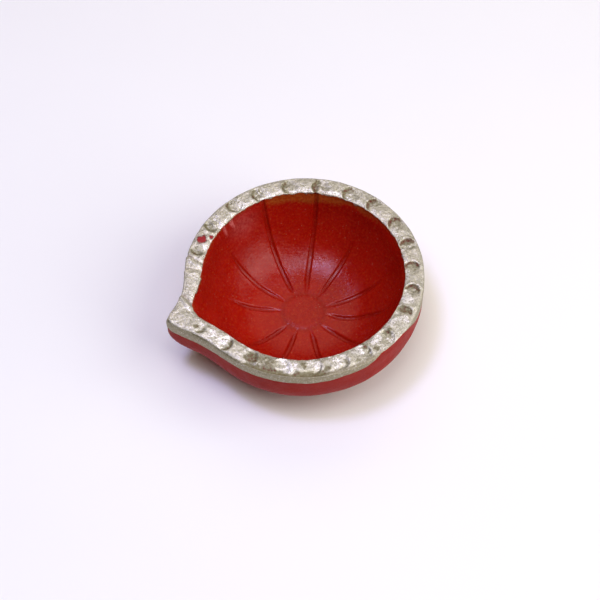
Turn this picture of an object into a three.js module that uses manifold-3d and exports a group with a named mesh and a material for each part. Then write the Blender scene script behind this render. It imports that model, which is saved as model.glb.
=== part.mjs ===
// A diya: a small hand-finished oil lamp of fired clay.
// The bowl is pressed in one piece, with a pinched spout for the wick, a flat rim stamped with a ring of
// round marks, and a flower of incised petals round a raised boss inside. Three coats of paint lie on the
// clay: red inside, red outside, and a metallic gold band over the rim.
// Units are millimetres, +Z is up, +X points along the spout, and the origin is the centre of the foot.

import * as THREE from "three";
import { mergeVertices } from "three/addons/utils/BufferGeometryUtils.js";
import Module from "manifold-3d";

// Driving dimensions
const HEIGHT = 24.1;
const RIM_RADIUS = 35.1; // outside of the rim, away from the spout
const LIP_RADIUS = 30; // inside of the rim
const FOOT_RADIUS = 15.8;
const BOWL_DEPTH = 20.8;
const BOSS_RADIUS = 6.4;
const BOSS_RISE = 0.5;
const EDGE_ROUND = 0.7; // easing of the rim's two edges

// The outer wall drops straight, then follows a quarter ellipse in to the foot.
const WALL_STRAIGHT = 7;
const WALL_ELLIPSE = { inward: 41.5, down: 21 };

// The inner wall is a superellipse from the boss out to the lip.
const BOWL_CURVE = { outward: 3.04, upward: 1.43 };

// How far the spout's two outlines stand out, and the angle over which each side of them falls away.
// The left side (-Y) is pinched in tighter than the right one.
const SPOUT_OUTER = {
  reach: 7.2,
  left: { width: 6.7, power: 1.44 },
  right: { width: 11.5, power: 1.73 },
};
const SPOUT_INNER = {
  reach: 4.4,
  left: { width: 12, power: 1.9 },
  right: { width: 13.5, power: 1.9 },
};

// The bowl is out of round by these shares of its radius.
const SQUEEZE = { once: 0.013, twice: 0.007 };

// Stamped rim marks and incised petal lines, by their angle from the spout in degrees.
const STAMP_ANGLES = [
  10, 25, 42, 58, 72, 86, 99, 114, 130, 145, 160, 176, 192, 207, 223, 240, 256, 272, 289, 305, 322,
];
const PETAL_ANGLES = [20, 50, 83, 116, 147, 174, 210, 241, 273, 306, 337];
const STAMP = { mouthRadius: 2.3, floorRadius: 1.6, depth: 0.7, sides: 8 };
const PETAL_LINE = { width: 1.5, depth: 0.6, steps: 6 };

// Paint
const COAT_CLEARANCE = 0.1; // between the clay and each coat
const COAT_THICKNESS = 0.3;
const COAT_SPACING = 0.2; // between neighbouring coats
const GOLD_BAND = 5.2; // height of the gold on the outside of the rim
const GOLD_LIP = 1.2; // depth of the gold inside the lip
const BARE_FOOT = 0.8; // height of clay left unpainted above the table
const CORE_DEPTH = 1.5; // depth inside the clay at which the inner coat's region is cut

const COLUMNS = 48; // steps round the bowl, drawn closer together at the spout
const SPOUT_CROWDING = 0.45;

const degrees = THREE.MathUtils.degToRad;
const wasm = await Module();
wasm.setup();

// ---- the clay's outlines ----

// How far a spout outline stands out at an angle from the spout, in radians.
function spoutReach(spout, angle) {
  const side = angle < 0 ? spout.left : spout.right;
  const steps = Math.abs(angle) / degrees(side.width);
  return spout.reach * Math.exp(-(steps ** side.power));
}

function outOfRound(angle) {
  return 1 + SQUEEZE.once * Math.sin(angle) + SQUEEZE.twice * Math.sin(2 * angle);
}

// Radius of the line midway between the rim's two edges.
function rimMiddle(angle) {
  const round = ((RIM_RADIUS + LIP_RADIUS) / 2) * outOfRound(angle);
  return round + (spoutReach(SPOUT_OUTER, angle) + spoutReach(SPOUT_INNER, angle)) / 2;
}

// Radius of the outer wall at a depth below the rim.
function outerRadius(depth) {
  const share = Math.max(0, depth - WALL_STRAIGHT) / WALL_ELLIPSE.down;
  return RIM_RADIUS - WALL_ELLIPSE.inward * (1 - Math.sqrt(1 - share * share));
}

// The inner wall at a share of the way from the boss (0) to the lip (1).
function innerPoint(share) {
  const rise = (1 - share ** BOWL_CURVE.outward) ** (1 / BOWL_CURVE.upward);
  return {
    radius: BOSS_RADIUS + (LIP_RADIUS - BOSS_RADIUS) * share,
    z: HEIGHT - BOWL_DEPTH * rise,
  };
}

// The spout's ridge fades down the outer wall, and its channel fades down the inner one.
const outerFade = (z) => 1 - ((HEIGHT - z) / HEIGHT) ** 3;
const innerFade = (z) => Math.max(0, 1 - (HEIGHT - z) / BOWL_DEPTH) ** 1.2;

// A station is one point of the section: a radius, a height, and its share in each spout outline.
const outer = (radius, z) => ({ radius, z, out: outerFade(z), into: 0 });
const inner = (radius, z) => ({ radius, z, out: 0, into: innerFade(z) });
const onRim = (radius, z) => {
  const share = (radius - LIP_RADIUS) / (RIM_RADIUS - LIP_RADIUS);
  return { radius, z, out: share, into: 1 - share };
};

function outerStations() {
  const depths = [23.3, 21.5, 19, 15.5, 11.5, 7.5, 4];
  return depths.map((depth) => outer(outerRadius(depth), HEIGHT - depth));
}

function rimStations() {
  const ease = EDGE_ROUND * (1 - Math.SQRT1_2);
  return [
    onRim(RIM_RADIUS, HEIGHT - EDGE_ROUND),
    onRim(RIM_RADIUS - ease, HEIGHT - ease),
    onRim(RIM_RADIUS - EDGE_ROUND, HEIGHT),
    onRim(LIP_RADIUS + EDGE_ROUND, HEIGHT),
    onRim(LIP_RADIUS + ease, HEIGHT - ease),
  ];
}

function innerStations() {
  const shares = [0.9995, 0.99, 0.96, 0.9, 0.81, 0.69, 0.55, 0.38, 0.2];
  return shares.map((share) => {
    const { radius, z } = innerPoint(share);
    return inner(radius, z);
  });
}

function bossStations() {
  const floor = HEIGHT - BOWL_DEPTH;
  return [
    inner(BOSS_RADIUS, floor),
    inner(BOSS_RADIUS - 0.6, floor + BOSS_RISE),
    inner(0, floor + BOSS_RISE),
  ];
}

// ---- solids ----

// Turns a section round the axis, and moves every point out to the spout's outlines.
function turn(stations) {
  const profile = stations.map(({ radius, z }) => new THREE.Vector2(radius, z));
  const geometry = new THREE.LatheGeometry(profile, COLUMNS);
  const position = geometry.getAttribute("position");
  for (let column = 0; column <= COLUMNS; column++) {
    const even = (column % COLUMNS) * ((2 * Math.PI) / COLUMNS);
    const angle = even - SPOUT_CROWDING * Math.sin(even);
    const fromSpout = angle > Math.PI ? angle - 2 * Math.PI : angle;
    stations.forEach(({ radius, z, out, into }, row) => {
      const bulge =
        out * spoutReach(SPOUT_OUTER, fromSpout) + into * spoutReach(SPOUT_INNER, fromSpout);
      const reach = radius === 0 ? 0 : radius * outOfRound(fromSpout) + bulge;
      const index = column * stations.length + row;
      position.setXYZ(index, reach * Math.cos(angle), reach * Math.sin(angle), z);
    });
  }
  return weld(geometry);
}

// A closed geometry with its shared vertices merged and with fresh normals.
function weld(geometry) {
  geometry.deleteAttribute("normal");
  geometry.deleteAttribute("uv");
  const merged = mergeVertices(geometry, 1e-4);
  const corners = merged.index.array;
  const whole = [];
  for (let i = 0; i < corners.length; i += 3) {
    const [a, b, c] = [corners[i], corners[i + 1], corners[i + 2]];
    if (a !== b && b !== c && a !== c) whole.push(a, b, c);
  }
  merged.setIndex(whole);
  merged.computeVertexNormals();
  return merged;
}

// The geometry with every vertex moved out along its normal.
function inflate(geometry, distance) {
  const grown = geometry.clone();
  const position = grown.getAttribute("position");
  const normal = grown.getAttribute("normal");
  const point = new THREE.Vector3();
  const direction = new THREE.Vector3();
  for (let i = 0; i < position.count; i++) {
    point.fromBufferAttribute(position, i);
    direction.fromBufferAttribute(normal, i);
    point.addScaledVector(direction, distance);
    position.setXYZ(i, point.x, point.y, point.z);
  }
  return grown;
}

function toSolid(geometry) {
  const closed = geometry.index && !geometry.getAttribute("uv") ? geometry : weld(geometry);
  const mesh = new wasm.Mesh({
    numProp: 3,
    vertProperties: new Float32Array(closed.getAttribute("position").array),
    triVerts: new Uint32Array(closed.index.array),
  });
  return new wasm.Manifold(mesh);
}

function toGeometry(solid) {
  const { vertProperties, triVerts } = solid.getMesh();
  const geometry = new THREE.BufferGeometry();
  geometry.setAttribute("position", new THREE.BufferAttribute(vertProperties, 3));
  geometry.setIndex(new THREE.BufferAttribute(triVerts, 1));
  geometry.computeVertexNormals();
  return geometry;
}

// ---- marks pressed into the clay ----

// A round punch over the rim, whose sides taper in to its flat floor.
function stampCutter(angle, coat) {
  const above = 1;
  const taper = (STAMP.mouthRadius - STAMP.floorRadius) / STAMP.depth;
  const punch = new THREE.CylinderGeometry(
    STAMP.mouthRadius + above * taper - coat,
    STAMP.floorRadius - coat,
    STAMP.depth + above,
    STAMP.sides,
  );
  punch.rotateX(Math.PI / 2);
  const middle = HEIGHT + coat + (above - STAMP.depth) / 2;
  const circle = rimMiddle(angle > Math.PI ? angle - 2 * Math.PI : angle);
  punch.translate(circle * Math.cos(angle), circle * Math.sin(angle), middle);
  return toSolid(punch);
}

// A narrow blade that follows the inner wall from the boss to just under the lip.
function petalCutter(angle, coat) {
  const wallward = PETAL_LINE.depth - coat;
  const inward = coat + 0.6;
  const under = [];
  const over = [];
  for (let step = 0; step <= PETAL_LINE.steps; step++) {
    const share = 0.04 + (0.93 * step) / PETAL_LINE.steps;
    const here = innerPoint(share);
    const next = innerPoint(share + 0.01);
    const slope = Math.atan2(next.z - here.z, next.radius - here.radius);
    const [across, along] = [Math.sin(slope), Math.cos(slope)];
    const radius = here.radius * outOfRound(angle > Math.PI ? angle - 2 * Math.PI : angle);
    under.push(new THREE.Vector2(radius + wallward * across, here.z - wallward * along));
    over.unshift(new THREE.Vector2(radius - inward * across, here.z + inward * along));
  }
  const width = PETAL_LINE.width - 2 * coat;
  const blade = new THREE.ExtrudeGeometry(new THREE.Shape([...under, ...over]), {
    depth: width,
    bevelEnabled: false,
  });
  blade.translate(0, 0, -width / 2);
  blade.rotateX(Math.PI / 2);
  blade.rotateZ(angle);
  return toSolid(blade);
}

const skin = turn([
  { radius: 0, z: 0, out: 0, into: 0 },
  outer(FOOT_RADIUS, 0),
  ...outerStations(),
  ...rimStations(),
  ...innerStations(),
  ...bossStations(),
]);

// The lamp's marked shape, grown by the thickness of what lies on the clay.
function markedShape(coat) {
  const cutters = [
    ...STAMP_ANGLES.map((angle) => stampCutter(degrees(angle), coat)),
    ...PETAL_ANGLES.map((angle) => petalCutter(degrees(angle), coat)),
  ];
  const plain = toSolid(coat === 0 ? skin : inflate(skin, coat));
  return cutters.reduce((shape, cutter) => shape.subtract(cutter), plain);
}

// ---- where each coat lies ----

// Everything inside a surface that runs within the clay, just behind the inner wall, up to a height.
function bowlRegion(top) {
  const wall = innerStations()
    .reverse()
    .map(({ radius, z, out, into }) => ({ radius: radius + CORE_DEPTH, z: z - CORE_DEPTH, out, into }))
    .filter(({ z }) => z < top - 1);
  const last = { ...wall[wall.length - 1], radius: LIP_RADIUS + CORE_DEPTH, z: top, into: innerFade(top) };
  return toSolid(
    turn([
      { radius: 0, z: HEIGHT - BOWL_DEPTH - CORE_DEPTH, out: 0, into: 0 },
      ...wall,
      last,
      { radius: 0, z: top, out: 0, into: 0 },
    ]),
  );
}

// A disc wider than the lamp, between two heights.
function slab(bottom, top) {
  const disc = new THREE.CylinderGeometry(2 * RIM_RADIUS, 2 * RIM_RADIUS, top - bottom, COLUMNS);
  disc.rotateX(Math.PI / 2);
  disc.translate(0, 0, (top + bottom) / 2);
  return toSolid(disc);
}

// ---- parts ----

function part(name, solid, { color, roughness, metalness }) {
  const material = new THREE.MeshStandardMaterial({ color, roughness, metalness });
  const mesh = new THREE.Mesh(toGeometry(solid), material);
  mesh.name = name;
  return mesh;
}

const terracotta = { color: 0xb5623c, roughness: 0.9, metalness: 0 };
const redPaint = { color: 0x9c1408, roughness: 0.4, metalness: 0 };
const goldPaint = { color: 0xc9c2a4, roughness: 0.4, metalness: 0.7 };

const clay = markedShape(0);
const coat = markedShape(COAT_CLEARANCE + COAT_THICKNESS).subtract(markedShape(COAT_CLEARANCE));
const goldBottom = HEIGHT - GOLD_BAND;
const goldLip = HEIGHT - GOLD_LIP;

const lamp = new THREE.Group();
lamp.add(
  part("clay_body", clay, terracotta),
  part("red_inner_coat", coat.intersect(bowlRegion(goldLip - COAT_SPACING)), redPaint),
  part(
    "red_outer_coat",
    coat.intersect(slab(BARE_FOOT, goldBottom - COAT_SPACING).subtract(bowlRegion(goldLip))),
    redPaint,
  ),
  part(
    "gold_rim_coat",
    coat.intersect(slab(goldBottom, HEIGHT + 5).subtract(bowlRegion(goldLip))),
    goldPaint,
  ),
);

export default lamp;
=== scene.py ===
"""A small painted clay diya (oil lamp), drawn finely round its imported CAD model.

The lamp is one pressed bowl of fired clay with red paint over it and pale gold paint over the rim.
Every piece is one closed skin. A skin is a stack of rings, each ring a row of points round the bowl.
Lengths are in millimetres until a mesh is made. Angles run round the bowl from the spout, in degrees.
"""

import math

import bpy
import numpy as np
from mathutils import Matrix, Vector


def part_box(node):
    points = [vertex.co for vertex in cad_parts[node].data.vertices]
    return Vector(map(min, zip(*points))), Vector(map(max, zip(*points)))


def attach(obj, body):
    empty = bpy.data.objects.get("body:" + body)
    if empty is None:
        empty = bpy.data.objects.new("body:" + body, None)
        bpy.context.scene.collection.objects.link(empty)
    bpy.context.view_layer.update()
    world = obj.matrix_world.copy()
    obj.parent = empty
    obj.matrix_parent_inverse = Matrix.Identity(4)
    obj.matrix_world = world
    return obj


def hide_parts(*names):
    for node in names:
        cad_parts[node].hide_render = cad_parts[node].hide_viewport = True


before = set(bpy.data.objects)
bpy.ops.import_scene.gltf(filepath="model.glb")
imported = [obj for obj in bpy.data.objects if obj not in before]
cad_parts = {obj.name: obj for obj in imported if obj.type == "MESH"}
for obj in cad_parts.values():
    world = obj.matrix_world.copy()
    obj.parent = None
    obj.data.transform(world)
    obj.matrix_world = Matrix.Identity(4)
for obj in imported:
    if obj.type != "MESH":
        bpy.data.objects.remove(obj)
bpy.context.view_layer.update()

MM = 0.001
SEED = 20

# ---------------------------------------------------------------- driving dimensions

GOLD_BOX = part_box("gold_rim_coat")
TOP = GOLD_BOX[1][2] / MM  # height of the painted rim
RIM_RADIUS = -GOLD_BOX[0][0] / MM  # outside of the rim, opposite the spout
RIM_BREADTH = 5.9
LIP_RADIUS = RIM_RADIUS - RIM_BREADTH
FLOOR_HEIGHT = 3.3  # height of the bowl's floor over the table
BOWL_DEPTH = TOP - FLOOR_HEIGHT
BOSS_RADIUS = 6.4
BOSS_RISE = 0.14
EDGE_ROUND = 0.6  # rounding of the rim's two edges
FOOT_ROUND = 0.9
WALL_STRAIGHT = 7.0  # depth over which the outer wall drops straight
WALL_INWARD, WALL_DOWN = 41.5, 21.0  # the ellipse that the outer wall follows below that
BOWL_OUTWARD, BOWL_UPWARD = 3.04, 1.43  # powers of the inner wall's superellipse
WALL_FADE, BOWL_FADE = 3.0, 1.2  # powers with which the spout fades down the wall and down the bowl
SQUEEZE_ONCE, SQUEEZE_TWICE = 0.013, 0.007  # how far out of round the bowl is

# Reach, and the angle and power with which each side of the spout falls away
SPOUT_OUTER = (7.2, (6.7, 1.44), (11.5, 1.73))
SPOUT_INNER = (4.4, (12.0, 1.9), (13.5, 1.9))
LIP_NARROWING = 0.8  # how much further in the lip stands along the front
FRONT, FRONT_SPREAD = 100.0, 48.0  # where the front is, and the angle over which the narrowing fades

# Layers, as heights over the red paint's surface
CLAY_LEVEL = -0.34
RED_BACK = -0.30
RED_COVERED = -0.14  # how much lower the red lies where gold covers it
GOLD_BACK = -0.10
GOLD_LEVEL = 0.07
GOLD_ABSENT = -0.05

COLUMNS = 720
COARSE = 4  # a coarse ring has one point for this many of a fine one


# ---------------------------------------------------------------- small functions


def smoothstep(low, high, value):
    share = np.clip((value - low) / (high - low), 0.0, 1.0)
    return share * share * (3.0 - 2.0 * share)


def bump(value, width):
    return np.exp(-((value / width) ** 2))


def falling(value):
    """1 well below 0, falling smoothly to 0 well above it."""
    return 1.0 / (1.0 + np.exp(np.clip(value, -30.0, 30.0)))


def turned(angle):
    """The angle brought to the range from -180 to 180."""
    return (angle + 180.0) % 360.0 - 180.0


def noise(points, size, seed):
    """Smooth noise from -1 to 1 in space, whose lumps are about size across."""
    cells = 32
    lattice = np.random.default_rng(SEED + seed).uniform(-1.0, 1.0, (cells, cells, cells))
    place = np.asarray(points) / size + 7.3 * seed
    base = np.floor(place).astype(int)
    share = place - base
    share = share * share * (3.0 - 2.0 * share)
    total = np.zeros(place.shape[:-1])
    for dx in (0, 1):
        for dy in (0, 1):
            for dz in (0, 1):
                weight = (
                    np.abs(1 - dx - share[..., 0])
                    * np.abs(1 - dy - share[..., 1])
                    * np.abs(1 - dz - share[..., 2])
                )
                x = (base[..., 0] + dx) % cells
                y = (base[..., 1] + dy) % cells
                z = (base[..., 2] + dz) % cells
                total += weight * lattice[x, y, z]
    return total


def ring_noise(angle, size, seed):
    """Noise along a ring, by angle in degrees, with features about size degrees long."""
    a = np.radians(angle)
    reach = 57.3 / size
    return noise(np.stack([reach * np.cos(a), reach * np.sin(a), 0 * a + 0.5], -1), 1.0, seed)


# ---------------------------------------------------------------- the lamp's section


def spout_reach(spout, angle):
    reach, left, right = spout
    away = np.abs(angle)
    on_left = reach * np.exp(-((away / left[0]) ** left[1]))
    on_right = reach * np.exp(-((away / right[0]) ** right[1]))
    return np.where(angle < 0, on_left, on_right)


def inner_reach(angle):
    """How far the lip stands out of its circle: out at the spout, in along the front."""
    return spout_reach(SPOUT_INNER, angle) - LIP_NARROWING * bump(angle - FRONT, FRONT_SPREAD)


def out_of_round(angle):
    a = np.radians(angle)
    return 1.0 + SQUEEZE_ONCE * np.sin(a) + SQUEEZE_TWICE * np.sin(2.0 * a)


def outer_radius(depth):
    share = np.maximum(0.0, depth - WALL_STRAIGHT) / WALL_DOWN
    return RIM_RADIUS - WALL_INWARD * (1.0 - np.sqrt(1.0 - share * share))


ROUNDING = np.radians(np.linspace(0.0, 90.0, 9))  # steps round an eased edge

# Each row of the section is (radius, height, outer spout share, inner spout share). The rows run from
# the boss's centre out over the rim and down to the foot's centre.


def bowl_rows():
    """From the boss's centre to the foot of the lip's rounding."""
    rows = [(radius, FLOOR_HEIGHT, 0.0, 0.0) for radius in np.linspace(0.0, BOSS_RADIUS, 24)]
    for turn in np.linspace(0.0, math.pi / 2, 160)[1:]:
        share = math.sin(turn) ** (2.0 / BOWL_OUTWARD)
        rise = max(0.0, math.cos(turn)) ** (2.0 / BOWL_UPWARD)
        height = TOP - BOWL_DEPTH * rise
        if height > TOP - EDGE_ROUND:
            break
        fade = max(0.0, 1.0 - rise) ** BOWL_FADE
        rows.append((BOSS_RADIUS + (LIP_RADIUS - BOSS_RADIUS) * share, height, 0.0, fade))
    return rows


def rim_rows():
    """The flat rim and its two rounded edges."""
    rows = []
    for turn in ROUNDING:
        radius = LIP_RADIUS + EDGE_ROUND * (1.0 - math.cos(turn))
        rows.append((radius, TOP - EDGE_ROUND * (1.0 - math.sin(turn)), 0.0, 1.0))
    for share in np.linspace(0.0, 1.0, 40):
        radius = LIP_RADIUS + EDGE_ROUND + share * (RIM_BREADTH - 2 * EDGE_ROUND)
        rows.append((radius, TOP, share, 1.0 - share))
    for turn in ROUNDING:
        radius = RIM_RADIUS - EDGE_ROUND * (1.0 - math.sin(turn))
        rows.append((radius, TOP - EDGE_ROUND * (1.0 - math.cos(turn)), 1.0, 0.0))
    return rows


def wall_rows():
    """The outside wall, from under the rim to the top of the foot's rounding."""
    rows = []
    for depth in np.linspace(EDGE_ROUND, TOP - FOOT_ROUND, 120)[1:]:
        rows.append((float(outer_radius(depth)), TOP - depth, 1.0 - (depth / TOP) ** WALL_FADE, 0.0))
    return rows


def foot_rows(wall_end):
    """The foot's rounding, in from the wall's last radius, and its flat underside."""
    rows = []
    for turn in ROUNDING[1:]:
        radius = wall_end - FOOT_ROUND * (1.0 - math.cos(turn))
        height = FOOT_ROUND * (1.0 - math.sin(turn))
        rows.append((radius, height, 1.0 - ((TOP - height) / TOP) ** WALL_FADE, 0.0))
    for radius in np.linspace(rows[-1][0], 0.0, 30)[1:]:
        rows.append((radius, 0.0, 0.0, 0.0))
    return rows


def build_section():
    """The distance along the section to each row, and the rows, without those that coincide."""
    rows = bowl_rows() + rim_rows() + wall_rows()
    table = np.array(rows + foot_rows(rows[-1][0]))
    steps = np.hypot(np.diff(table[:, 0]), np.diff(table[:, 1]))
    table = table[np.concatenate([[True], steps > 1e-6])]
    steps = np.hypot(np.diff(table[:, 0]), np.diff(table[:, 1]))
    return np.concatenate([[0.0], np.cumsum(steps)]), table


WAY, SECTION = build_section()


def ways_above(height):
    """The first and the last distance along the section at which it is above a height."""
    above = np.where(SECTION[:, 1] > height)[0]
    return float(WAY[above[0]]), float(WAY[above[-1]])


WAY_LIP = ways_above(TOP - EDGE_ROUND - 0.01)[0]  # foot of the lip's rounding
WAY_RIM_IN, WAY_RIM_OUT = ways_above(TOP - 0.001)  # the two sides of the rim's flat top
WAY_EDGE = WAY_RIM_OUT + EDGE_ROUND * math.pi / 2  # end of the outer edge's rounding
WAY_FOOT = ways_above(FOOT_ROUND)[1]  # top of the foot's rounding
WAY_END = float(WAY[-1])


def base_place(angle, way):
    """The plain surface's point at an angle and a distance along the section."""
    radius = np.interp(way, WAY, SECTION[:, 0])
    height = np.interp(way, WAY, SECTION[:, 1])
    out = np.interp(way, WAY, SECTION[:, 2])
    into = np.interp(way, WAY, SECTION[:, 3])
    angle = turned(angle)
    reach = radius * out_of_round(angle)
    reach = reach + out * spout_reach(SPOUT_OUTER, angle) + into * inner_reach(angle)
    a = np.radians(angle)
    return np.stack([reach * np.cos(a), reach * np.sin(a), height + 0 * a], -1)


SMALL_WAY, SMALL_ANGLE = 0.06, 0.1


def base_normal(angle, way):
    """The plain surface's unit normal, pointing out of the clay."""
    along = base_place(angle, way + SMALL_WAY) - base_place(angle, way - SMALL_WAY)
    around = base_place(angle + SMALL_ANGLE, way) - base_place(angle - SMALL_ANGLE, way)
    normal = np.cross(along, around)
    return normal / np.maximum(np.linalg.norm(normal, axis=-1, keepdims=True), 1e-9)


# ---------------------------------------------------------------- marks in the clay

# Petal lines: angle, and how far up the bowl each one runs as a share of the way to the lip. A line
# whose share is over 1 runs on to the lip without fading.
PETAL_LINES = (
    (20.5, 0.80),
    (49.5, 0.84),
    (83.0, 0.88),
    (116.0, 0.90),
    (147.5, 0.86),
    (174.0, 0.84),
    (-149.5, 0.86),
    (-119.2, 1.06),
    (-87.2, 1.04),
    (-54.4, 0.92),
    (-24.0, 0.74),
)

# Stamps: angle, radius of the mark, how deep, and how far it lies off the rim's middle line
STAMPS = (
    (-170.3, 2.3, 1.0, 0.2),
    (-153.8, 2.35, 1.0, 0.0),
    (-138.8, 2.35, 1.05, -0.3),
    (-121.8, 2.5, 1.0, -0.4),
    (-105.2, 2.5, 0.9, -0.5),
    (-87.6, 2.45, 0.95, -0.5),
    (-72.0, 2.4, 0.95, 0.2),
    (-54.6, 2.35, 0.95, 0.2),
    (-37.4, 2.2, 0.9, 0.2),
    (174.8, 2.25, 0.9, -0.1),
    (160.0, 2.2, 0.85, -0.7),
    (145.6, 2.2, 0.85, -0.3),
    (131.0, 2.3, 0.85, -0.4),
    (113.5, 2.3, 0.70, 0.0),
    (99.0, 2.2, 0.65, 0.1),
    (86.0, 2.2, 0.65, 0.0),
    (72.0, 2.3, 0.65, -0.1),
    (57.0, 2.2, 0.50, 0.0),
    (39.5, 2.3, 0.85, -0.3),
    (25.0, 2.1, 0.75, 0.2),
    (11.0, 1.5, 0.45, 0.3),
)


def rim_middle(angle):
    middle = 0.5 * (RIM_RADIUS + LIP_RADIUS) * out_of_round(angle)
    return middle + 0.5 * (spout_reach(SPOUT_OUTER, angle) + inner_reach(angle))


LINE_DEPTH, LINE_SOFTNESS = 0.62, 0.12
LINE_END_WIDTH, LINE_SWELL = 0.25, 0.36  # half the width at a line's ends, and how much more it becomes
LINE_RIDGE, LINE_BURR = 0.06, 0.09  # heights of the ridge along the floor and of the burr beside the line
LINE_SWAY = 0.35


def petal_marks(angle, way, place):
    """Depth of the incised petal lines, with the burr that the tool raised beside each."""
    radius = np.hypot(place[..., 0], place[..., 1])
    height = np.zeros_like(radius)
    in_bowl = smoothstep(WAY_RIM_IN + 0.2, WAY_LIP - 0.2, way)
    share = (radius - BOSS_RADIUS) / (LIP_RADIUS - BOSS_RADIUS)
    for number, (line, end) in enumerate(PETAL_LINES):
        sway = LINE_SWAY * noise(np.stack([radius, 0 * radius, 0 * radius], -1), 7.0, 30 + number)
        off = np.radians(turned(angle - line)) * radius - sway
        begin = smoothstep(-0.01, 0.22, share)
        stop = 1.0 - smoothstep(end - 0.30, end, share)
        if end > 1.0:
            stop = np.ones_like(share)
        firm = np.sqrt(begin * stop) * in_bowl
        firm = firm * (0.85 + 0.30 * noise(place, 4.0, 50 + number))
        side = np.abs(off)
        half = LINE_END_WIDTH + LINE_SWELL * begin * stop
        cut = -LINE_DEPTH * falling((side - half) / LINE_SOFTNESS)
        ridge = LINE_RIDGE * bump(off, 0.28)
        burr = LINE_BURR * bump(side - 1.0, 0.26) * (0.7 + 0.6 * noise(place, 1.2, 70 + number))
        height += firm * (cut + ridge) + begin * stop * in_bowl * burr
    return height


PILLOW_RISE = 0.22


def petal_pillow(angle, way, place):
    """A slight swell of the clay between one petal line and the next."""
    lines = np.sort(np.array([turned(line) for line, _ in PETAL_LINES]))
    edges = np.concatenate([[lines[-1] - 360.0], lines, [lines[0] + 360.0]])
    at = turned(angle)
    upper = np.clip(np.searchsorted(edges, at), 1, len(edges) - 1)
    share = (at - edges[upper - 1]) / (edges[upper] - edges[upper - 1])
    radius = np.hypot(place[..., 0], place[..., 1])
    level = smoothstep(8.0, 13.0, radius) * smoothstep(WAY_LIP - 1.0, WAY_LIP - 9.0, way)
    return PILLOW_RISE * level * (np.sin(np.pi * np.clip(share, 0, 1)) ** 0.8 - 0.6)


BOSS_RING = 0.06  # depth of the ring pressed round the boss


def boss_marks(way):
    """The raised boss at the bowl's centre, and the ring pressed round it."""
    dome = BOSS_RISE * (1.0 - smoothstep(BOSS_RADIUS - 1.6, BOSS_RADIUS + 0.2, way))
    return dome - BOSS_RING * bump(way - BOSS_RADIUS - 0.3, 0.7)


def stamp_frame(stamp, place):
    """Where points lie to one stamp: their distances round the ring and outwards from its centre."""
    centre, _, _, shift = stamp
    a = math.radians(centre)
    middle = float(rim_middle(np.array(centre))) + shift
    x = place[..., 0] - middle * math.cos(a)
    y = place[..., 1] - middle * math.sin(a)
    return y * math.cos(a) - x * math.sin(a), x * math.cos(a) + y * math.sin(a)


STAMP_TURN = 25.0  # degrees by which a stamp's slant may turn either way
STAMP_LIP = 0.12  # height of the lip that a stamp raised on its steep side


def stamp_marks(angle, way, place):
    """Round marks pressed at a slant: steep and deep on the side towards the next angle up."""
    height = np.zeros(place.shape[:-1])
    rng = np.random.default_rng(SEED)
    uneven = 0.30 * noise(place, 1.5, 4) + 0.14 * noise(place, 0.7, 14)
    for stamp in STAMPS:
        size, depth = stamp[1:3]
        slant = np.radians(rng.uniform(-STAMP_TURN, STAMP_TURN))
        along, across = stamp_frame(stamp, place)
        lean = np.clip((along * math.cos(slant) + across * math.sin(slant)) / size, -1.0, 1.0)
        reach = np.hypot(along, across) + uneven
        floor = depth * (0.56 + 0.32 * lean)
        soft = 0.15 + 0.20 * (1.0 - lean)
        lip = STAMP_LIP * bump(reach - size - 0.5, 0.42) * (0.5 + 0.5 * lean)
        mark = lip - floor * falling((reach - size) / soft)
        height += np.where(reach < size + 2.4, mark, 0.0)
    rough = noise(place, 0.55, 5) * 0.10 + noise(place, 1.2, 6) * 0.14
    deep = smoothstep(-0.10, -0.4, height)
    return on_face(angle, way) * (height + deep * rough)


# The fold runs from the spout's outer kink to its inner corner; both are points over the table.
FOLD_START, FOLD_END = np.array([36.0, -5.6]), np.array([34.2, -0.6])

# Wrinkles that cross the rim: angle, slope, depth
WRINKLES = ((-30.2, 0.5, 0.24), (-24.2, 0.15, 0.18))


def spout_fold(place):
    """The fold beside the spout: a ridge along one side of it and a groove along the other."""
    length = np.linalg.norm(FOLD_END - FOLD_START)
    ahead = (FOLD_END - FOLD_START) / length
    gap = place[..., :2] - FOLD_START
    along = gap @ ahead
    off = gap @ np.array([-ahead[1], ahead[0]]) + 0.35 * noise(place, 2.0, 15)
    reach = smoothstep(-1.6, 0.2, along) * smoothstep(length + 0.8, length - 0.8, along)
    return reach * (0.30 * bump(off + 0.5, 0.75) - 0.26 * bump(off - 0.7, 0.7))


def rim_creases(angle, way, place):
    """The fold beside the spout, and two wrinkles that cross the rim a little further round."""
    on_rim = smoothstep(WAY_LIP - 0.6, WAY_RIM_IN, way) * smoothstep(WAY_EDGE + 2.5, WAY_RIM_OUT, way)
    height = spout_fold(place)
    radius = np.hypot(place[..., 0], place[..., 1])
    for crease, slope, depth in WRINKLES:
        off = np.radians(turned(angle - crease)) * radius + slope * (radius - 32.0)
        off = off + 0.4 * noise(place, 1.8, 16)
        height += -depth * bump(off, 0.55) + 0.5 * depth * bump(off - 1.2, 0.9)
    return on_rim * height


# The recessed line between the stamped face and the smooth band: angle, place from the outer edge, depth
RECESS = np.array(
    [
        (-8, -0.2, 0.0),
        (0, -0.2, 0.36),
        (6, 0.0, 0.16),
        (15, 0.0, 0.36),
        (22, -0.2, 0.22),
        (30, -0.35, 0.36),
        (38, -0.7, 0.32),
        (46, -1.5, 0.50),
        (57, -1.5, 0.58),
        (61, -1.3, 0.32),
        (67, -1.6, 0.54),
        (76, -1.6, 0.56),
        (81, -1.5, 0.12),
        (100, -1.4, 0.10),
        (106, -1.0, 0.0),
        (118, 0.0, 0.0),
    ]
)


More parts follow.
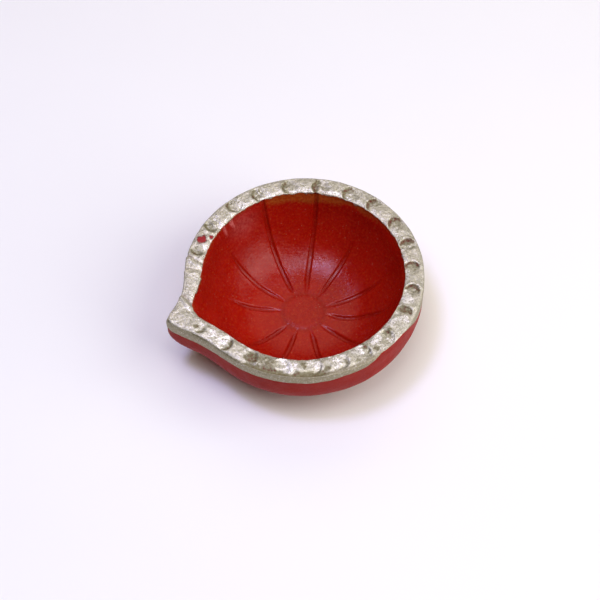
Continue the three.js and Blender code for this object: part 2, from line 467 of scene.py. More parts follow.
def recess_way(angle):
    return WAY_EDGE + np.interp(turned(angle), RECESS[:, 0], RECESS[:, 1])


def recess(angle, way):
    """The line pressed between the stamped face and the band, along the spout and round the front."""
    deep = np.interp(turned(angle), RECESS[:, 0], RECESS[:, 2])
    wide = 0.50 + 0.8 * deep + 0.2 * ring_noise(angle, 6.0, 12)
    off = way - recess_way(angle) - 0.2 * ring_noise(angle, 7.0, 13)
    return -deep * np.exp(-((np.abs(off) / wide) ** 2.4))


def on_face(angle, way):
    """1 on the rim's stamped top face, 0 off it."""
    outer = np.minimum(recess_way(angle) + 0.3, WAY_EDGE)
    return smoothstep(WAY_LIP - 0.5, WAY_RIM_IN, way) * smoothstep(outer, outer - 0.9, way)


def crown(way):
    """The top face falls away softly towards the lip, and a little towards its outer edge."""
    inward = np.clip(1.0 - (way - WAY_RIM_IN) / 1.5, 0.0, 1.0)
    outward = np.clip(1.0 - (WAY_RIM_OUT - way) / 1.8, 0.0, 1.0)
    fall = 0.34 * inward**2 + 0.14 * outward**2
    return -fall * smoothstep(WAY_LIP - 3.0, WAY_LIP, way) * smoothstep(WAY_EDGE + 2.0, WAY_EDGE, way)


def hand_wobble(place):
    """The unevenness of hand-pressed clay."""
    return 0.10 * noise(place, 9.0, 1) + 0.05 * noise(place, 3.2, 2) + 0.016 * noise(place, 1.6, 11)


def brush_relief(angle, way, place):
    """Low relief left by the paint brush, and the lumpy thick paint of the top face."""
    lumps = 0.09 * noise(place, 2.4, 8) + 0.07 * noise(place, 1.1, 9) + 0.07 * noise(place, 0.6, 10)
    return 0.010 * noise(place, 1.3, 3) + on_face(angle, way) * lumps


def relief(angle, way, place):
    """Height of the red paint's surface over the plain one."""
    height = hand_wobble(place) + brush_relief(angle, way, place) + crown(way)
    height += petal_marks(angle, way, place) + petal_pillow(angle, way, place)
    height += boss_marks(way) + stamp_marks(angle, way, place)
    height += rim_creases(angle, way, place) + recess(angle, way)
    flat_foot = smoothstep(WAY_FOOT + 1.2, WAY_FOOT - 1.0, way)
    return height * flat_foot


# ---------------------------------------------------------------- where the gold lies


def gold_inner_edge(angle):
    """Distance along the section at which the gold starts, inside the lip."""
    at = turned(angle)
    ragged = 0.34 * ring_noise(angle, 5.0, 21) + 0.42 * ring_noise(angle, 1.8, 22)
    drip = 0.8 * smoothstep(0.35, 0.9, ring_noise(angle, 2.6, 23))
    bitten = 0.5 * smoothstep(-62.0, -50.0, at) * smoothstep(-8.0, -20.0, at)
    return WAY_LIP - 0.05 + bitten - ragged - drip


# How far the gold comes down the outside wall, by angle
BAND_HEIGHT = np.array(
    [
        (-180, 4.3),
        (-120, 4.0),
        (-60, 4.2),
        (-20, 3.9),
        (0, 4.0),
        (6, 3.6),
        (14, 4.0),
        (22, 3.3),
        (30, 2.8),
        (40, 2.5),
        (66, 2.6),
        (79, 2.4),
        (86, 1.4),
        (96, 1.6),
        (101, 1.0),
        (106, -0.5),
        (121, -0.5),
        (127, 1.0),
        (136, 3.6),
        (150, 4.3),
        (180, 4.3),
    ]
)


def gold_band_height(angle):
    height = np.interp(turned(angle), BAND_HEIGHT[:, 0], BAND_HEIGHT[:, 1])
    return height + 0.16 * ring_noise(angle, 7.0, 24) + 0.10 * ring_noise(angle, 2.2, 25)


def gold_outer_edge(angle):
    return WAY_EDGE + gold_band_height(angle)


def gold_share(angle, way):
    """1 where gold covers the red fully, 0 where there is none."""
    start, end = gold_inner_edge(angle), gold_outer_edge(angle)
    return smoothstep(start, start + 0.3, way) * smoothstep(end, end - 0.3, way)


def gold_level(angle, way, place):
    thick = GOLD_LEVEL + 0.03 * noise(place, 1.7, 28)
    return GOLD_ABSENT + (thick - GOLD_ABSENT) * gold_share(angle, way)


def steep_side(place, stamp):
    """1 on the steep side of a stamp, falling to 0 away from it."""
    size = stamp[1]
    along, across = stamp_frame(stamp, place)
    reach = np.hypot(along, across)
    return bump(reach - size + 0.1, 0.55) * smoothstep(0.0, 0.6, along / size)


# Spots that the gold missed: angle, distance from the bowl's axis, radius
MISSED_SPOTS = (
    (-43.6, 32.3, 2.1),
    (-47.0, 30.4, 0.8),
)

# Bright dabs on the front half of the rim, painted highlights, given in the same way
GLINT_DABS = (
    (17.0, 33.8, 1.4),
    (24.0, 33.7, 1.7),
    (60.5, 32.7, 2.6),
    (74.0, 32.5, 1.7),
    (85.0, 32.8, 1.8),
    (98.0, 31.8, 1.9),
    (109.0, 31.2, 1.7),
    (114.5, 33.6, 1.6),
    (122.5, 30.6, 1.5),
    (128.5, 33.0, 1.9),
    (140.0, 31.6, 2.0),
)

# Darker patches between them, given in the same way
DARK_PATCHES = (
    (9.5, 36.2, 0.9),
    (40.0, 32.5, 2.1),
    (45.5, 32.3, 2.0),
    (50.5, 33.4, 2.9),
    (64.5, 34.1, 1.2),
    (67.5, 32.0, 1.2),
    (79.5, 33.4, 1.2),
    (94.0, 34.0, 1.3),
    (101.5, 30.6, 1.2),
    (106.0, 33.2, 1.1),
    (118.0, 31.4, 1.3),
    (133.5, 31.6, 1.4),
)


def spots(place, table):
    """1 at the middle of each spot in a table, falling away unevenly round it."""
    share = np.zeros(place.shape[:-1])
    uneven = 0.45 * noise(place, 1.3, 37)
    for at, radius, size in table:
        a = math.radians(at)
        away = np.hypot(place[..., 0] - radius * math.cos(a), place[..., 1] - radius * math.sin(a))
        share = np.maximum(share, 1.0 - smoothstep(size * 0.3, size * 1.2, away + uneven))
    return share


def stamp_glint(place, stamp):
    """1 where a painted highlight sits, on the side of a stamp towards the lip."""
    size = stamp[1]
    along, across = stamp_frame(stamp, place)
    return bump(np.hypot(along + 0.30 * size, across + 0.65 * size), 0.42 * size)


def bare_of_gold(angle, way, place, pressed):
    """How far the red shows through: fully at missed spots, and less in the wrinkles and some stamps.

    Pressed is 1 inside the stamps. Where the red shows only partly, it is drawn darker as painted shade.
    """
    bare = 0.40 * smoothstep(-0.04, -0.22, rim_creases(angle, way, place))
    bare = np.maximum(bare, spots(place, MISSED_SPOTS))
    for stamp in STAMPS:
        reached = 0.62 * bump(turned(stamp[0] - 180.0), 48.0)
        bare = np.maximum(bare, reached * steep_side(place, stamp))
    blotches = pressed * bump(turned(angle) + 132.0, 32.0) * smoothstep(-0.2, 0.5, noise(place, 1.3, 34))
    return np.maximum(bare, 0.42 * blotches)


def steep_wear_and_shade(angle):
    """How far the steep side of the stamp at an angle has lost its gold, darker partly as painted shade:
    most round the back, least at the front.
    """
    if 30.0 < angle < 120.0:
        return 0.25
    return 1.0 if angle > 125.0 or angle < -115.0 else 0.65


def gold_shade(angle, way, place):
    """How far the gold is rubbed away, below 0 where a painted highlight is drawn; where the stamped face
    is; how bare it is.

    It is most rubbed in the stamps and at its edge. The recess and the stamps' steep sides are darker,
    partly rubbed and partly painted shade; painted highlights sit just outside the lip, on the bright
    dabs and beside each stamp.
    """
    face = on_face(angle, way)
    pressed = smoothstep(-0.05, -0.5, stamp_marks(angle, way, place))
    # Painted shade, partly rubbed gold: the recess is drawn darker
    line = smoothstep(-0.04, -0.45, recess(angle, way))
    edge = 1.0 - smoothstep(0.1, 0.6, way - gold_inner_edge(angle))
    patches = spots(place, DARK_PATCHES) - spots(place, GLINT_DABS)
    # Painted highlight: bright glints on the gold just outside the lip
    thick = bump(way - WAY_RIM_IN - 0.4, 1.0) * smoothstep(-0.3, 0.5, noise(place, 1.1, 33))
    wear_shade_highlight = 0.44 * pressed + 0.75 * line + 0.25 * edge + 0.75 * patches * face - 0.4 * thick * face
    # Each stamp's steep side is darker, partly rubbed and partly painted shade; its side towards the lip
    # gets a painted highlight
    for stamp in STAMPS:
        worn_and_shaded = steep_wear_and_shade(stamp[0]) * steep_side(place, stamp)
        wear_shade_highlight += (worn_and_shaded - 0.8 * stamp_glint(place, stamp)) * face
    bare = bare_of_gold(angle, way, place, pressed) * face
    return np.stack([np.clip(wear_shade_highlight, -0.5, 1.0), face, bare], -1)


def bowl_shade(angle, way, place):
    """Where thin gold ran down over the red inside the lip; pale streaks and a pale patch of painted
    sheen; and painted shade, partly pooled paint, along the pressed lines and round the boss.
    """
    at = turned(angle)
    down = WAY_LIP - way
    run = 3.4 + 1.1 * ring_noise(angle, 9.0, 43) + 0.5 * ring_noise(angle, 3.0, 44)
    back = smoothstep(-82.0, -98.0, at) * smoothstep(-172.0, -148.0, at)
    run = run - 1.4 * smoothstep(-120.0, -155.0, at)
    ochre = back * smoothstep(run + 0.8, run - 2.2, down)
    fringe = 0.45 * smoothstep(0.9, 0.1, down + 0.5 * ring_noise(angle, 4.0, 45))
    # Painted sheen: pale streaks near -62 degrees and a pale patch near -71 degrees on the inside wall
    streaks = smoothstep(0.0, 0.6, ring_noise(angle, 0.9, 46)) * bump(at + 62.0, 6.5)
    length = 5.0 + 3.0 * ring_noise(angle, 1.2, 47)
    sheen_cloud = 0.26 * bump(at + 71.0, 9.0) * bump(down - 4.5, 4.0)
    sheen_streaks = np.maximum(streaks * smoothstep(length, length - 3.5, down), sheen_cloud)
    # Painted shade, partly pooled paint: the pressed lines and the ring round the boss are drawn darker
    lines = smoothstep(-0.08, -0.45, petal_marks(angle, way, place))
    lines = np.maximum(lines, 0.75 * bump(way - BOSS_RADIUS - 0.1, 0.75))
    return np.stack([np.maximum(ochre, fringe), sheen_streaks, lines], -1)


# ---------------------------------------------------------------- meshes


def column_angles():
    """Angles of the columns, closer together along the petal lines and at the spout."""
    fine = np.linspace(-180.0, 180.0, 14401)
    density = 1.0 + 1.6 * bump(fine, 9.0) + 2.2 * bump(fine + 9.0, 3.0)
    for line, _ in PETAL_LINES:
        density += 2.2 * bump(turned(fine - line), 2.6)
    total = np.concatenate([[0.0], np.cumsum(0.5 * (density[1:] + density[:-1]))])
    return np.interp(np.arange(COLUMNS) * total[-1] / COLUMNS, total, fine)


ANGLES = column_angles()


def fixed(value):
    """A level or a curve that is the same everywhere."""
    return lambda angle, *_: np.full(np.shape(angle), float(value))


def unshaded(angle, way, place):
    return np.zeros(place.shape)


class Skin:
    """Rings of points, joined one to the next into a closed mesh. Each point carries three shades."""

    def __init__(self, shade=unshaded):
        self.shade = shade
        self.points = []
        self.shades = []
        self.faces = []
        self.count = 0

    def rings(self, start, end, rows, level, step=1):
        """Rings from the curve start to the curve end, raised by level over the marked surface."""
        angle = ANGLES[::step]
        first, last = start(angle), end(angle)
        share = np.linspace(0.0, 1.0, rows)[:, None]
        way = first + (last - first) * share
        angle = np.broadcast_to(angle, way.shape)
        place = base_place(angle, way)
        height = relief(angle, way, place) + level(angle, way, place)
        points = place + base_normal(angle, way) * height[..., None]
        shades = self.shade(angle, way, place)
        return [self.ring(*row) for row in zip(points, shades)]

    def ring(self, points, shades):
        start = self.count
        self.points.append(points)
        self.shades.append(shades)
        self.count += len(points)
        return start, len(points)

    def tip(self, ring, first):
        """Closes the first or the last ring with a point at its middle."""
        start, size = ring
        self.points.append(np.concatenate(self.points)[start : start + size].mean(0, keepdims=True))
        self.shades.append(np.concatenate(self.shades)[start : start + 1])
        here = start + np.arange(size)
        after = start + (np.arange(size) + 1) % size
        faces = np.stack([here, after, np.full(size, self.count)], -1)
        self.faces.append(faces if first else faces[:, ::-1])
        self.count += 1

    def join(self, low, high):
        """A strip between two rings. One may have a whole number of times the other's points."""
        if low[1] < high[1]:
            self._stitch(high, low, flip=True)
            return
        self._stitch(low, high, flip=False)

    def _stitch(self, fine, coarse, flip):
        times = fine[1] // coarse[1]
        number = np.arange(fine[1])
        here = fine[0] + number
        after = fine[0] + (number + 1) % fine[1]
        owner = (number // times + (number % times >= (times + 1) // 2)) % coarse[1]
        made = [np.stack([here, coarse[0] + owner, after], -1)]
        step = np.arange(coarse[1])
        at = fine[0] + (step * times + (times + 1) // 2) % fine[1]
        ahead = coarse[0] + (step + 1) % coarse[1]
        made.append(np.stack([at, coarse[0] + step, ahead], -1))
        faces = np.concatenate(made)
        self.faces.append(faces[:, ::-1] if flip else faces)

    def chain(self, rings):
        for low, high in zip(rings, rings[1:]):
            self.join(low, high)

    def mesh(self, name):
        points = np.concatenate(self.points)
        faces = np.concatenate(self.faces)
        a, b, c = (points[faces[:, i]] for i in range(3))
        if np.einsum("ij,ij->i", a, np.cross(b, c)).sum() < 0:
            faces = faces[:, ::-1]
        mesh = bpy.data.meshes.new(name)
        mesh.vertices.add(len(points))
        mesh.vertices.foreach_set("co", (points * MM).astype(np.float32).ravel())
        mesh.loops.add(faces.size)
        mesh.loops.foreach_set("vertex_index", np.ascontiguousarray(faces, np.int32).ravel())
        mesh.polygons.add(len(faces))
        mesh.polygons.foreach_set("loop_start", np.arange(0, faces.size, 3, dtype=np.int32))
        mesh.polygons.foreach_set("use_smooth", np.ones(len(faces), dtype=bool))
        mesh.update(calc_edges=True)
        shade = mesh.attributes.new("shade", "FLOAT_VECTOR", "POINT")
        shade.data.foreach_set("vector", np.concatenate(self.shades).astype(np.float32).ravel())
        mesh.validate()
        return mesh


def add_piece(name, skin, node, material):
    piece = bpy.data.objects.new(name, skin.mesh(name))
    bpy.context.scene.collection.objects.link(piece)
    piece.data.materials.append(material)
    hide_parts(node)
    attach(piece, "root")


CORE = BOSS_RADIUS + 1.6  # distance along the section up to which the rings have fewer points


def clay_level(angle, way, place):
    """Under the paint, and rising to the true surface on the bare foot."""
    return CLAY_LEVEL * smoothstep(WAY_FOOT + 1.5, WAY_FOOT - 1.5, way)


def clay_skin():
    skin = Skin()
    rings = skin.rings(fixed(0.5), fixed(CORE), 12, clay_level, COARSE * 2)
    rings += skin.rings(fixed(CORE + 0.2), fixed(WAY_LIP), 60, clay_level, 2)
    rings += skin.rings(fixed(WAY_LIP + 0.15), fixed(WAY_EDGE), 28, clay_level, 2)
    rings += skin.rings(fixed(WAY_EDGE + 0.25), fixed(WAY_FOOT + 2.4), 70, clay_level, 2)
    rings += skin.rings(fixed(WAY_FOOT + 2.9), fixed(WAY_END - 0.5), 22, clay_level, COARSE)
    skin.chain(rings)
    skin.tip(rings[0], first=True)
    skin.tip(rings[-1], first=False)
    return skin


def red_inner_skin():
    skin = Skin(bowl_shade)
    end = fixed(WAY_LIP + 0.4)
    rings = skin.rings(fixed(0.4), fixed(CORE), 26, fixed(0.0), COARSE)
    rings += skin.rings(fixed(CORE + 0.2), end, 92, fixed(0.0))
    rings += skin.rings(end, fixed(CORE + 0.2), 46, fixed(RED_BACK), 2)
    rings += skin.rings(fixed(CORE), fixed(0.4), 12, fixed(RED_BACK), COARSE * 2)
    skin.chain(rings)
    skin.tip(rings[0], first=True)
    skin.tip(rings[-1], first=False)
    return skin


def red_foot_edge(angle):
    """The hand-painted lower edge of the outer red, just above the foot."""
    return WAY_FOOT - 0.1 + 0.30 * ring_noise(angle, 14.0, 41) + 0.16 * ring_noise(angle, 4.0, 42)


def red_outer_level(angle, way, place):
    edge = red_foot_edge(angle)
    covered = gold_share(angle, way)
    return RED_COVERED * covered - 0.10 * smoothstep(edge - 0.35, edge, way)


def red_outer_skin():
    """The red on the rim's top and down the outside wall."""
    skin = Skin()
    start, middle = fixed(WAY_LIP + 0.3), fixed(WAY_EDGE + 6.0)
    rings = skin.rings(start, middle, 62, red_outer_level)
    rings += skin.rings(fixed(WAY_EDGE + 6.4), red_foot_edge, 44, red_outer_level)
    rings += skin.rings(red_foot_edge, fixed(WAY_EDGE + 6.4), 22, fixed(RED_BACK), 2)
    rings += skin.rings(middle, start, 26, fixed(RED_BACK), 2)
    skin.chain(rings + rings[:1])
    return skin


def gold_skin():
    skin = Skin(gold_shade)
    rings = skin.rings(gold_inner_edge, gold_outer_edge, 78, gold_level)
    rings += skin.rings(gold_outer_edge, gold_inner_edge, 39, fixed(GOLD_BACK), 2)
    skin.chain(rings + rings[:1])
    return skin


# ---------------------------------------------------------------- materials


class Nodes:
    """Short calls for building a material's node tree."""

    def __init__(self, name):
        self.material = bpy.data.materials.new(name)
        self.material.use_nodes = True
        self.tree = self.material.node_tree
        self.shader = self.tree.nodes["Principled BSDF"]

    def add(self, kind, **settings):
        node = self.tree.nodes.new(kind)
        for key, value in settings.items():
            setattr(node, key, value)
        return node

    def link(self, source, target):
        self.tree.links.new(source, target)

    def coordinates(self, scale=(1.0, 1.0, 1.0)):
        """Object coordinates in millimetres, stretched by scale."""
        source = self.add("ShaderNodeTexCoord")
        mapping = self.add("ShaderNodeMapping")
        mapping.inputs["Scale"].default_value = [s / MM for s in scale]
        self.link(source.outputs["Object"], mapping.inputs["Vector"])
        return mapping.outputs["Vector"]

    def noise(self, vector, scale, detail=3.0, roughness=0.55, distortion=0.0):
        node = self.add("ShaderNodeTexNoise")
        node.inputs["Scale"].default_value = scale
        node.inputs["Detail"].default_value = detail
        node.inputs["Roughness"].default_value = roughness
        node.inputs["Distortion"].default_value = distortion
        self.link(vector, node.inputs["Vector"])
        return node.outputs["Fac"]

    def ramp(self, source, stops):
        node = self.add("ShaderNodeValToRGB")
        elements = node.color_ramp.elements
        while len(elements) < len(stops):
            elements.new(0.5)
        for element, (position, value) in zip(elements, stops):
            element.position = position
            colour = value if isinstance(value, tuple) else (value, value, value)
            element.color = (*colour, 1.0)
        self.link(source, node.inputs["Fac"])
        return node.outputs["Color"]

    def mix(self, factor, first, second):
        node = self.add("ShaderNodeMix", data_type="RGBA")
        for value, socket in ((factor, 0), (first, 6), (second, 7)):
            if isinstance(value, (int, float)):
                node.inputs[socket].default_value = value
            elif isinstance(value, tuple):
                node.inputs[socket].default_value = (*value, 1.0)
            else:
                self.link(value, node.inputs[socket])
        return node.outputs[2]

    def maths(self, operation, first, second=0.0):
        node = self.add("ShaderNodeMath", operation=operation)
        for value, socket in ((first, 0), (second, 1)):
            if isinstance(value, (int, float)):
                node.inputs[socket].default_value = value
            else:
                self.link(value, node.inputs[socket])
        return node.outputs[0]

    def flecks(self, vector, scale, size):
        """1 inside small round dots, one in each cell at most."""
        node = self.add("ShaderNodeTexVoronoi", feature="F1")
        node.inputs["Scale"].default_value = scale
        self.link(vector, node.inputs["Vector"])
        near = self.maths("LESS_THAN", node.outputs["Distance"], size)
        pick = self.add("ShaderNodeSeparateColor")
        self.link(node.outputs["Color"], pick.inputs["Color"])
        chosen = self.maths("GREATER_THAN", pick.outputs["Red"], 0.72)
        return self.maths("MULTIPLY", near, chosen)

    def weighted(self, terms, offset):
        """The sum of each value times its weight, and an offset."""
        total = offset
        for value, weight in terms:
            total = self.maths("ADD", self.maths("MULTIPLY", value, weight), total)
        return total

    def shades(self):
        """The three shades that the mesh carries at each point."""
        source = self.add("ShaderNodeAttribute", attribute_name="shade")
        parts = self.add("ShaderNodeSeparateXYZ")
        self.link(source.outputs["Vector"], parts.inputs["Vector"])
        return parts.outputs[0], parts.outputs[1], parts.outputs[2]

    def bumps(self, layers):
        """Bump nodes in a row, each (height, strength, distance in mm)."""
        last = None
        for height, strength, distance in layers:
            node = self.add("ShaderNodeBump")
            node.inputs["Strength"].default_value = strength
            node.inputs["Distance"].default_value = distance * MM
            self.link(height, node.inputs["Height"])
            if last is not None:
                self.link(last, node.inputs["Normal"])
            last = node.outputs["Normal"]
        self.link(last, self.shader.inputs["Normal"])

    def set(self, **values):
        for key, value in values.items():
            self.shader.inputs[key.replace("_", " ")].default_value = value


# Linear colours of the red paint: two broad tones and the lighter fine one, inside and outside
INSIDE_TINT = ((0.265, 0.002, 0.0003), (0.325, 0.004, 0.0004), (0.41, 0.020, 0.003))
OUTSIDE_TINT = ((0.265, 0.012, 0.007), (0.32, 0.016, 0.009), (0.37, 0.027, 0.016))

# Marks on the inside red: pale specks, washed gold, pale streaks of painted sheen, and painted shade in
# the pressed lines
SPECK = (0.62, 0.28, 0.16)
WASH_DARK, WASH_LIGHT = (0.24, 0.032, 0.003), (0.32, 0.074, 0.009)
# Colour of the painted sheen on the inside wall
SHEEN_STREAK = (0.74, 0.22, 0.20)
# Darker red of the pressed lines: partly pooled paint, partly painted shade
LINE_SHADE_RED = (0.16, 0.002, 0.0006)


def red_paint(name, tint, gloss, roughness, marked):
    """Red paint, slightly patchy.

    Where it is marked, it has pale specks, and the mesh's shades add washed gold, pale streaks of painted
    sheen and painted shade along the pressed lines.
    """
    nodes = Nodes(name)
    at = nodes.coordinates()
    broad = nodes.noise(at, 0.11, 2.0)
    fine = nodes.noise(at, 1.6, 4.0, 0.6)
    colour = nodes.ramp(broad, ((0.3, tint[0]), (0.7, tint[1])))
    colour = nodes.mix(nodes.ramp(fine, ((0.42, 0.0), (0.72, 0.55))), colour, tint[2])
    cloudy = nodes.noise(at, 0.3, 5.0, 0.65)
    rough = nodes.ramp(cloudy, ((0.35, roughness[0]), (0.65, roughness[1])))
    if marked:
        specks = nodes.maths("MULTIPLY", nodes.flecks(at, 1.0, 0.14), 0.36)
        colour = nodes.mix(specks, colour, SPECK)
        washed, sheen_streaks, lines = nodes.shades()
        thin = nodes.weighted(((washed, 1.0), (fine, 1.6)), -0.8)
        ochre = nodes.ramp(fine, ((0.35, WASH_DARK), (0.65, WASH_LIGHT)))
        colour = nodes.mix(nodes.ramp(thin, ((0.10, 0.0), (0.90, 0.85))), colour, ochre)
        # Painted sheen: pale streaks and a pale patch on the inside wall
        pale = nodes.maths("MULTIPLY", sheen_streaks, nodes.ramp(fine, ((0.38, 0.3), (0.58, 0.9))))
        colour = nodes.mix(pale, colour, SHEEN_STREAK)
        # Painted shade, partly pooled paint, along the pressed lines and round the boss
        colour = nodes.mix(nodes.maths("MULTIPLY", lines, 0.35), colour, LINE_SHADE_RED)
    nodes.link(colour, nodes.shader.inputs["Base Color"])
    nodes.link(rough, nodes.shader.inputs["Roughness"])
    brush = nodes.noise(nodes.coordinates((0.25, 0.25, 2.2)), 1.0, 3.0, 0.6)
    grain = nodes.noise(at, 2.6, 5.0, 0.65)
    nodes.bumps(((nodes.noise(at, 0.9, 2.0), 0.40, 0.26), (brush, 0.25, 0.12), (grain, 0.55, 0.09)))
    nodes.set(Specular_IOR_Level=gloss)
    return nodes.material


# Linear colours of the gold paint
GOLD_LOW, GOLD_HIGH = (0.60, 0.58, 0.455), (0.74, 0.70, 0.555)
# The band's darker colour is partly duller paint and partly painted shade
SHADED_BAND_GOLD = (0.36, 0.32, 0.21)  # the smooth band, duller than the stamped face
FLAKE_DARK, FLAKE_LIGHT = (0.27, 0.24, 0.14), (0.88, 0.85, 0.76)
# Colour of the painted highlights
GLINT_GOLD = (0.98, 0.95, 0.88)
# Rubbed gold and the red under it, drawn darker partly as painted shade in the recess, the creases and
# the stamps' steep sides
WORN_AND_SHADED_GOLD = (0.15, 0.132, 0.050)
SHADED_RED_UNDER = (0.13, 0.024, 0.014)  # seen through the most worn gold
SHADED_RED_PARTLY_BARE, RED_BARE = (0.12, 0.016, 0.009), (0.30, 0.014, 0.014)  # partly and fully bare of gold


def gold_paint():
    """Pale metallic paint: flaky, rubbed down to olive and red, with a darker band, painted shade in its
    hollows and painted highlights as bright dabs.
    """
    nodes = Nodes("gold_paint")
    at = nodes.coordinates()
    wear_shade_highlight, face, bare = nodes.shades()
    broad = nodes.noise(at, 0.35, 4.0, 0.6, 0.4)
    middle = nodes.noise(at, 1.2, 3.0, 0.6)
    fine = nodes.noise(at, 2.1, 6.0, 0.78)
    pale = nodes.ramp(broad, ((0.35, GOLD_LOW), (0.65, GOLD_HIGH)))
    # The smooth band is drawn darker than the face: partly duller paint, partly painted shade
    pale = nodes.mix(face, SHADED_BAND_GOLD, pale)
    pale = nodes.mix(nodes.ramp(fine, ((0.38, 0.85), (0.50, 0.0))), pale, FLAKE_DARK)
    pale = nodes.mix(nodes.ramp(fine, ((0.54, 0.0), (0.64, 0.8))), pale, FLAKE_LIGHT)
    # Painted highlights, where the shade is below 0
    thick = nodes.weighted(((wear_shade_highlight, -1.2), (fine, 3.2)), -1.6)
    pale = nodes.mix(nodes.ramp(thick, ((0.35, 0.0), (0.70, 1.0))), pale, GLINT_GOLD)
    # This runs from about 0 on sound gold to about 0.65 where the red shows through; in the recess and on
    # the stamps' steep sides it is partly painted shade
    worn_and_shaded = nodes.weighted(((wear_shade_highlight, 0.65), (fine, 1.9), (middle, 1.2)), -1.55)
    colour = nodes.mix(nodes.ramp(worn_and_shaded, ((0.12, 0.0), (0.48, 0.88))), pale, WORN_AND_SHADED_GOLD)
    colour = nodes.mix(nodes.ramp(worn_and_shaded, ((0.64, 0.0), (0.80, 0.9))), colour, SHADED_RED_UNDER)
    gone = nodes.weighted(((bare, 1.5), (fine, 2.6), (middle, 1.2)), -2.1)
    gone = nodes.ramp(gone, ((0.15, 0.0), (0.95, 1.0)))
    # Where the red shows only partly, in the creases and the stamp walls, it is darker as painted shade
    red = nodes.ramp(bare, ((0.65, SHADED_RED_PARTLY_BARE), (0.85, RED_BARE)))
    colour = nodes.mix(gone, colour, red)
    nodes.link(colour, nodes.shader.inputs["Base Color"])
    rough = nodes.weighted(((middle, 0.35), (face, -0.10), (gone, 0.30)), 0.38)
    nodes.link(rough, nodes.shader.inputs["Roughness"])
    metal = nodes.ramp(worn_and_shaded, ((0.2, 0.75), (0.6, 0.2)))
    sound = nodes.maths("SUBTRACT", 1.0, gone)
    nodes.link(nodes.maths("MULTIPLY", metal, sound), nodes.shader.inputs["Metallic"])
    nodes.set(Specular_IOR_Level=0.4)
    nodes.bumps(((nodes.noise(at, 1.5, 3.0, 0.6), 0.5, 0.15), (fine, 0.9, 0.16)))
    return nodes.material


# Linear colours of the fired clay
CLAY_DARK, CLAY_LIGHT = (0.36, 0.125, 0.055), (0.50, 0.20, 0.095)
SAND = (0.62, 0.38, 0.22)


def bare_clay():
    """Matt terracotta with grains of paler sand."""
    nodes = Nodes("fired_clay")
    at = nodes.coordinates()
    broad = nodes.noise(at, 0.16, 4.0, 0.6)
    colour = nodes.ramp(broad, ((0.3, CLAY_DARK), (0.7, CLAY_LIGHT)))
    specks = nodes.noise(at, 3.2, 3.0, 0.7)
    colour = nodes.mix(nodes.ramp(specks, ((0.62, 0.0), (0.72, 0.6))), colour, SAND)
    nodes.link(colour, nodes.shader.inputs["Base Color"])
    nodes.link(nodes.ramp(specks, ((0.2, 0.95), (0.8, 0.8))), nodes.shader.inputs["Roughness"])
    nodes.bumps(((nodes.noise(at, 1.1, 4.0, 0.7), 0.6, 0.2), (specks, 0.6, 0.08)))
    return nodes.material


# ---------------------------------------------------------------- the lamp


def make_lamp():
    inside = red_paint("red_paint_inside", INSIDE_TINT, 0.30, (0.20, 0.36), marked=True)
    outside = red_paint("red_paint_outside", OUTSIDE_TINT, 0.12, (0.50, 0.65), marked=False)
    add_piece("fired_clay_bowl", clay_skin(), "clay_body", bare_clay())
    add_piece("red_paint_bowl", red_inner_skin(), "red_inner_coat", inside)
    add_piece("red_paint_wall", red_outer_skin(), "red_outer_coat", outside)
    add_piece("gold_paint_rim", gold_skin(), "gold_rim_coat", gold_paint())


# ---------------------------------------------------------------- the studio


PAPER_DARK, PAPER_LIGHT = (0.87, 0.875, 0.83), (0.89, 0.895, 0.85)


def floor_paper():
    nodes = Nodes("floor_paper")
    broad = nodes.noise(nodes.coordinates(), 0.02, 2.0)
    tone = nodes.ramp(broad, ((0.0, PAPER_DARK), (1.0, PAPER_LIGHT)))
    nodes.link(tone, nodes.shader.inputs["Base Color"])
    nodes.set(Roughness=0.9)
    return nodes.material


FLOOR_REACH = 0.55  # metres from the middle to each side, as far as the lights keep it pale
FLOOR_GAP = 0.1 * MM  # how far it lies under the foot


def make_floor():
    mesh = bpy.data.meshes.new("floor")
    signs = ((-1, -1), (1, -1), (1, 1), (-1, 1))
    corners = [(FLOOR_REACH * x, FLOOR_REACH * y, -FLOOR_GAP) for x, y in signs]
    mesh.from_pydata(corners, [], [(0, 1, 2, 3)])
    floor = bpy.data.objects.new("floor", mesh)
    mesh.materials.append(floor_paper())
    bpy.context.scene.collection.objects.link(floor)


def aimed(ahead):
    """A rotation whose -Z looks ahead."""
    back = -ahead.normalized()
    right = Vector((0, 0, 1)).cross(back).normalized()
    above = back.cross(right)
    return Matrix((right, above, back)).transposed().to_4x4()


CAMERA_TURN = math.radians(67.7)  # the camera's azimuth from +X
CAMERA_RISE = math.radians(56.3)
CAMERA_AWAY = 420.0  # from the point that it is aimed at
CAMERA_AIM = (4.76, 8.75, TOP)
CAMERA_LENS, CAMERA_SENSOR = 87.18, 36.0


def direction(turn, rise):
    """The unit vector at a turn from +X and a rise above the floor, in radians."""
    return Vector((math.cos(turn) * math.cos(rise), math.sin(turn) * math.cos(rise), math.sin(rise)))


def make_camera():
    data = bpy.data.cameras.new("camera")
    data.sensor_width = CAMERA_SENSOR
    data.lens = CAMERA_LENS
    data.clip_start = 0.01
    camera = bpy.data.objects.new("camera", data)
    back = direction(CAMERA_TURN, CAMERA_RISE)
    place = (Vector(CAMERA_AIM) + back * CAMERA_AWAY) * MM
    camera.matrix_world = Matrix.Translation(place) @ aimed(-back)
    bpy.context.scene.collection.objects.link(camera)
    bpy.context.scene.camera = camera


LIGHTS_AIM = (0.0, 0.0, 0.015)

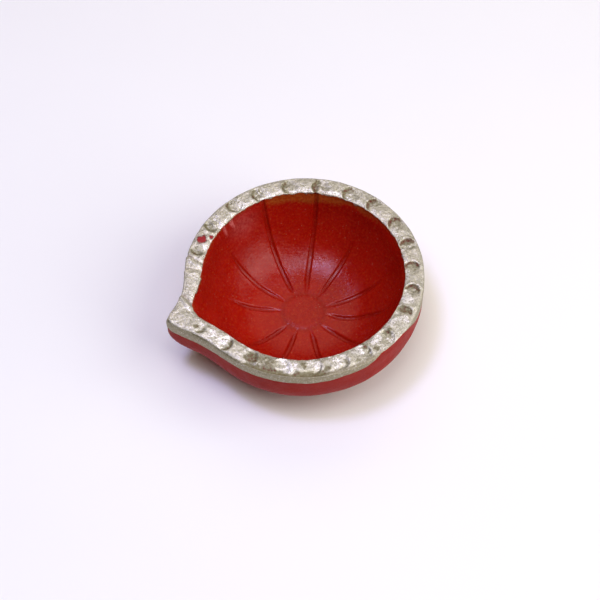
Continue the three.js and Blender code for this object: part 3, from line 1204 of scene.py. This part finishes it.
# Soft lights: name, degrees to the camera's right, rise, distance in metres, size, watts, colour
LIGHTS = (
    ("overhead", -50.0, 79.0, 0.8, (0.46, 0.46), 3.0, (0.98, 0.95, 0.98)),
    ("violet_lamp", -80.0, 75.0, 0.8, (0.12, 0.14), 2.0, (0.42, 0.40, 1.0)),
    ("high_front", 32.0, 68.0, 0.8, (0.20, 0.26), 0.45, (0.90, 0.72, 1.0)),
    ("right_window", 72.0, 38.0, 0.8, (0.70, 0.80), 5.2, (1.0, 0.98, 0.94)),
    ("back_panel", 180.0, 50.0, 1.0, (1.1, 0.7), 2.3, (1.0, 0.87, 0.66)),
)


def add_light(name, turn, rise, away, size, power, colour):
    """A soft rectangular light, placed by its angle to the camera's right."""
    data = bpy.data.lights.new(name, "AREA")
    data.shape = "RECTANGLE"
    data.size, data.size_y = size
    data.energy = power
    data.color = colour
    light = bpy.data.objects.new(name, data)
    toward = direction(CAMERA_TURN + math.radians(turn), math.radians(rise))
    light.matrix_world = Matrix.Translation(Vector(LIGHTS_AIM) + toward * away) @ aimed(-toward)
    bpy.context.scene.collection.objects.link(light)


BACKDROP_LIGHT, BACKDROP_STRENGTH = (0.90, 0.95, 1.0), 0.035


def make_world():
    """A pale backdrop to look at, that itself lights the lamp only faintly."""
    world = bpy.data.worlds.new("studio")
    world.use_nodes = True
    tree = world.node_tree
    lit = tree.nodes["Background"]
    lit.inputs["Color"].default_value = (*BACKDROP_LIGHT, 1.0)
    lit.inputs["Strength"].default_value = BACKDROP_STRENGTH
    seen = tree.nodes.new("ShaderNodeBackground")
    seen.inputs["Color"].default_value = (1.0, 1.0, 1.0, 1.0)
    rays = tree.nodes.new("ShaderNodeLightPath")
    mixed = tree.nodes.new("ShaderNodeMixShader")
    tree.links.new(rays.outputs["Is Camera Ray"], mixed.inputs["Fac"])
    tree.links.new(lit.outputs["Background"], mixed.inputs[1])
    tree.links.new(seen.outputs["Background"], mixed.inputs[2])
    tree.links.new(mixed.outputs["Shader"], tree.nodes["World Output"].inputs["Surface"])
    bpy.context.scene.world = world


def make_studio():
    make_world()
    for light in LIGHTS:
        add_light(*light)
    bpy.context.scene.view_settings.view_transform = "Standard"


make_camera()
make_studio()
make_floor()
make_lamp()
